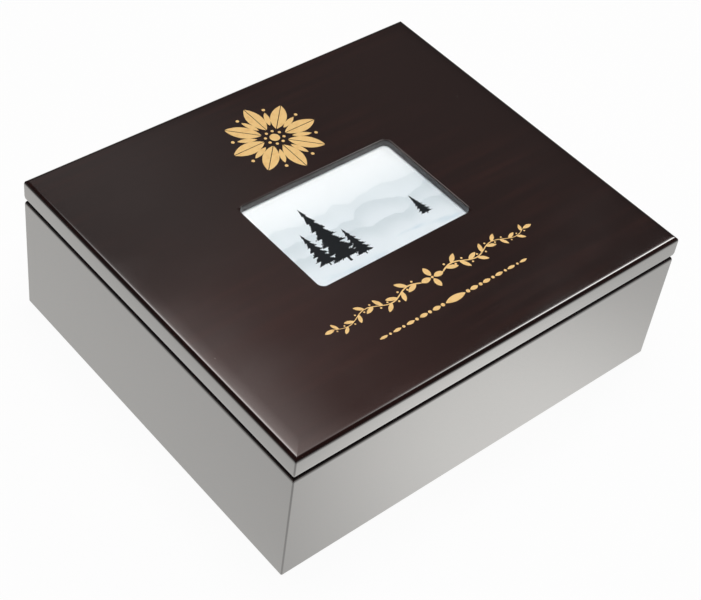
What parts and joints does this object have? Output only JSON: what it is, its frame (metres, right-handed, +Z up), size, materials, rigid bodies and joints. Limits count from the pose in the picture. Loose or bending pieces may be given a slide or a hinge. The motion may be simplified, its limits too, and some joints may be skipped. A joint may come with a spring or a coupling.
{
  "type": "keepsake box",
  "caption": "Flat rectangular lacquered wooden keepsake box with a hinged slab lid, a rounded picture window in the lid, velvet lining and a slotted lid stay.",
  "frame": {"origin": "middle of the underside, on the surface that the box stands on", "axes": "+X to the right along the long front, +Y to the hinged back, +Z up"},
  "size_m": [0.312, 0.2724, 0.1085],
  "materials": {
    "lacquered_wood": "very dark red-brown stain under a high-gloss clear lacquer",
    "velvet": "short black velvet pile over board",
    "felt": "thin pressed black felt",
    "plain_board": "bare smooth fibreboard",
    "bumper": "soft matt dot",
    "glass": "clear flat picture glass",
    "print_paper": "pale glossy photographic paper",
    "brass": "polished brass plate"
  },
  "bodies": {
    "base": {"base_front_wall": "lacquered_wood", "base_back_wall": "lacquered_wood", "base_left_wall": "lacquered_wood", "base_right_wall": "lacquered_wood", "bottom_panel": "plain_board", "underside_felt": "felt", "floor_lining": "velvet", "front_lining": "velvet", "back_lining": "velvet", "left_lining": "velvet", "right_lining": "velvet", "rim_bumpers": "bumper", "left_hinge_base_leaf": "brass", "right_hinge_base_leaf": "brass", "left_hinge_pin": "brass", "right_hinge_pin": "brass", "hinge_base_screws": "brass", "stay_stud": "brass"},
    "lid": {"lid_panel": "lacquered_wood", "lid_front_rail": "lacquered_wood", "lid_back_rail": "lacquered_wood", "lid_left_rail": "lacquered_wood", "lid_right_rail": "lacquered_wood", "picture_glass": "glass", "picture_print": "print_paper", "picture_backing": "plain_board", "lid_lining": "velvet", "left_hinge_lid_leaf": "brass", "right_hinge_lid_leaf": "brass", "hinge_lid_screws": "brass", "turn_button_screws": "brass", "stay_bracket": "brass", "stay_bracket_screws": "brass", "stay_rivet": "brass"},
    "stay": {"stay_arm": "brass"},
    "turn_button_front_left": {"turn_button_front_left": "brass"},
    "turn_button_front_right": {"turn_button_front_right": "brass"},
    "turn_button_back_left": {"turn_button_back_left": "brass"},
    "turn_button_back_right": {"turn_button_back_right": "brass"}
  },
  "joints": [
    {"name": "lid_hinge", "type": "hinge", "parent": "base", "child": "lid", "pos_m": [0, 0.135, 0.0922], "axis": [-1, 0, 0], "range_deg": [0, 95]},
    {"name": "stay_pivot", "type": "hinge", "parent": "lid", "child": "stay", "pos_m": [0.1392, 0.09215, 0.0902], "axis": [-1, 0, 0], "range_deg": [-47.5, 0]},
    {"name": "turn_button_front_left_turn", "type": "hinge", "parent": "lid", "child": "turn_button_front_left", "pos_m": [-0.037, -0.0548, 0.0954], "axis": [0, 0, 1], "continuous": true},
    {"name": "turn_button_front_right_turn", "type": "hinge", "parent": "lid", "child": "turn_button_front_right", "pos_m": [0.037, -0.0548, 0.0954], "axis": [0, 0, 1], "continuous": true},
    {"name": "turn_button_back_left_turn", "type": "hinge", "parent": "lid", "child": "turn_button_back_left", "pos_m": [-0.037, 0.0548, 0.0954], "axis": [0, 0, 1], "continuous": true},
    {"name": "turn_button_back_right_turn", "type": "hinge", "parent": "lid", "child": "turn_button_back_right", "pos_m": [0.037, 0.0548, 0.0954], "axis": [0, 0, 1], "continuous": true}
  ],
  "couplings": [
    {"joint": "stay_pivot", "follows": "lid_hinge", "ratio": -0.5}
  ]
}
